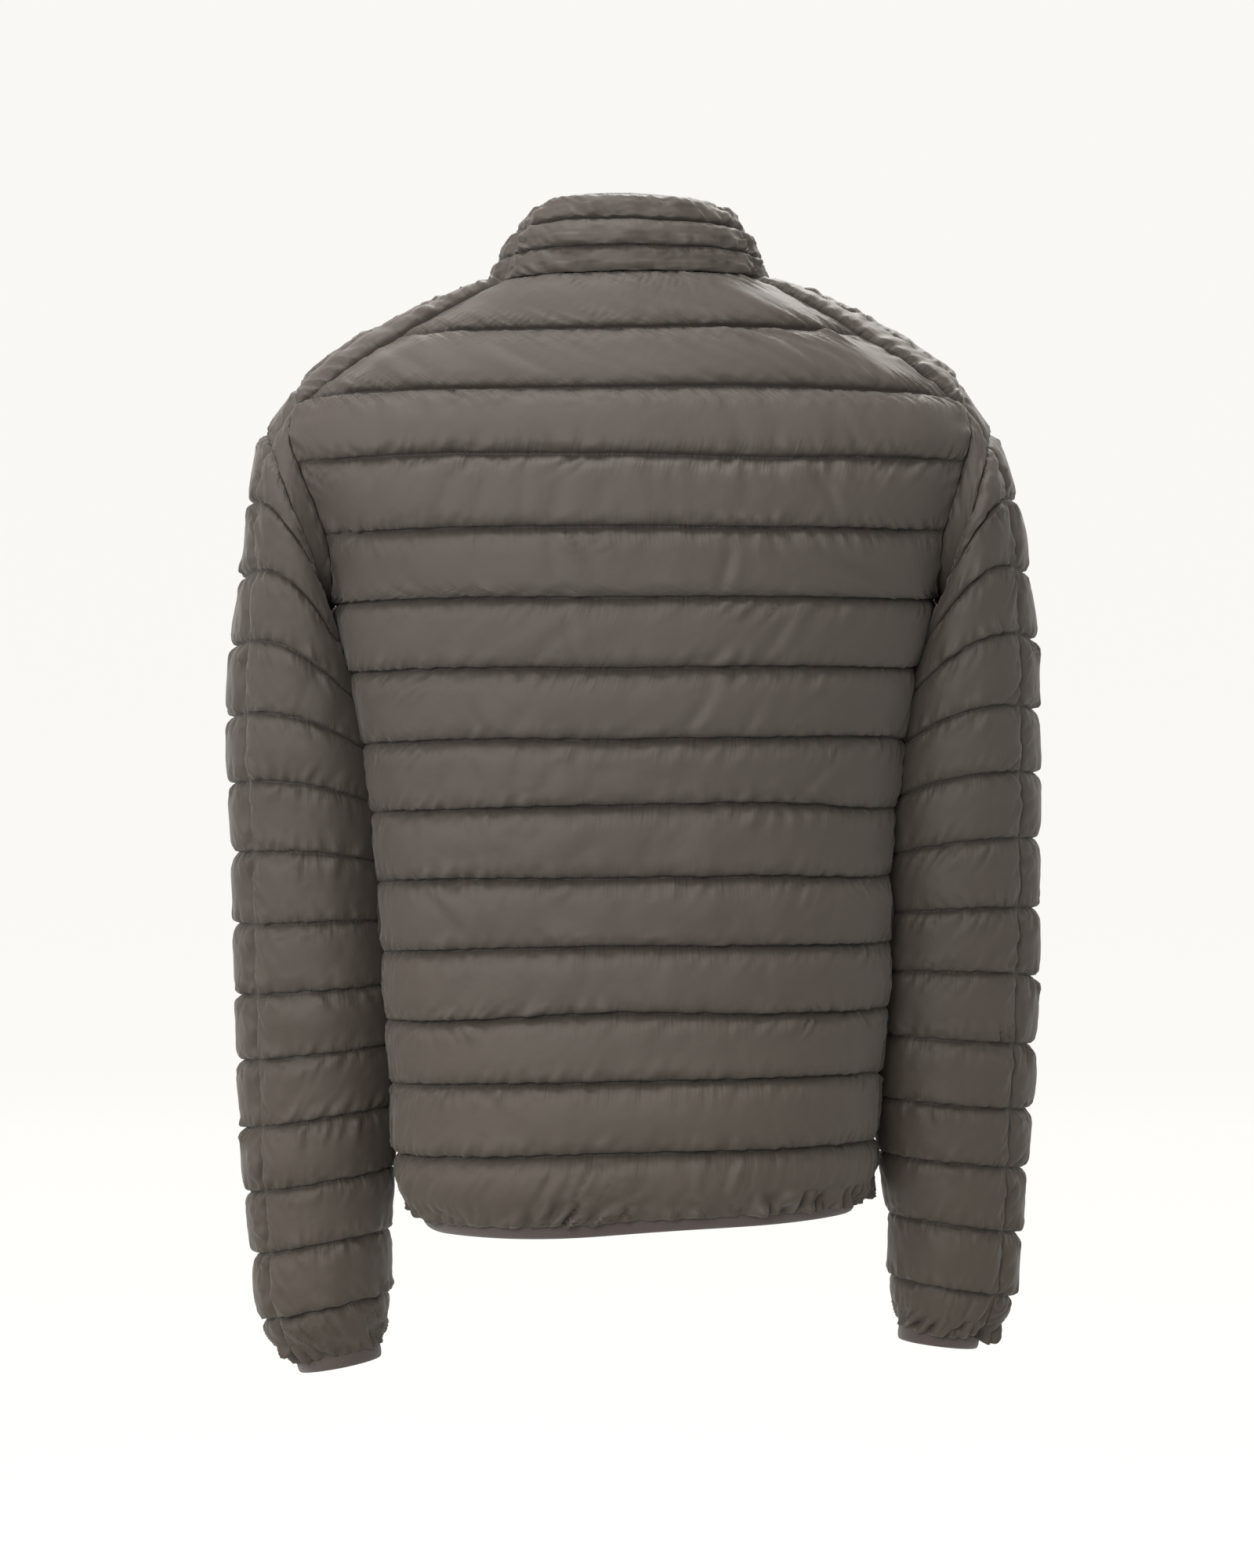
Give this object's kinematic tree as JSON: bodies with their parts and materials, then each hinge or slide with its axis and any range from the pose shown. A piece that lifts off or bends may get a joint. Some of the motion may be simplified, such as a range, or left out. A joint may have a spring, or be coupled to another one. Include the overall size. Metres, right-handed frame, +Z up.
{
  "type": "puffer jacket",
  "caption": "Quilted puffer jacket in its worn, filled-out shape, open at neck, hem and cuffs, with a stand collar and a front zip.",
  "frame": {"origin": "middle of the neck opening, at the height where the collar meets the shoulders, where the wearer holds the jacket up", "axes": "+X to the wearer's left, +Y to the back, +Z up"},
  "size_m": [0.5565, 0.2643, 0.7958],
  "materials": {
    "shell": "satin taupe nylon",
    "binding": "matt stretch knit",
    "zip_tape": "woven tape",
    "zip_teeth": "satin",
    "zip_metal": "satin dark coat"
  },
  "bodies": {
    "jacket": {"back_panel": "shell", "front_left": "shell", "front_right": "shell", "yoke_left": "shell", "yoke_right": "shell", "sleeve_left_outer": "shell", "sleeve_left_under": "shell", "sleeve_right_outer": "shell", "sleeve_right_under": "shell", "collar_back": "shell", "collar_left": "shell", "collar_right": "shell", "hem_binding": "binding", "cuff_binding_left": "binding", "cuff_binding_right": "binding", "zip_tape_left": "zip_tape", "zip_tape_right": "zip_tape", "zip_chain": "zip_teeth", "zip_slider": "zip_metal"},
    "pull_tab": {"zip_pull": "zip_metal"}
  },
  "joints": [
    {"name": "pull_tab_hinge", "type": "hinge", "parent": "jacket", "child": "pull_tab", "pos_m": [0, -0.09208, -0.01513], "axis": [-1, 0, 0], "range_deg": [0, 140]}
  ]
}
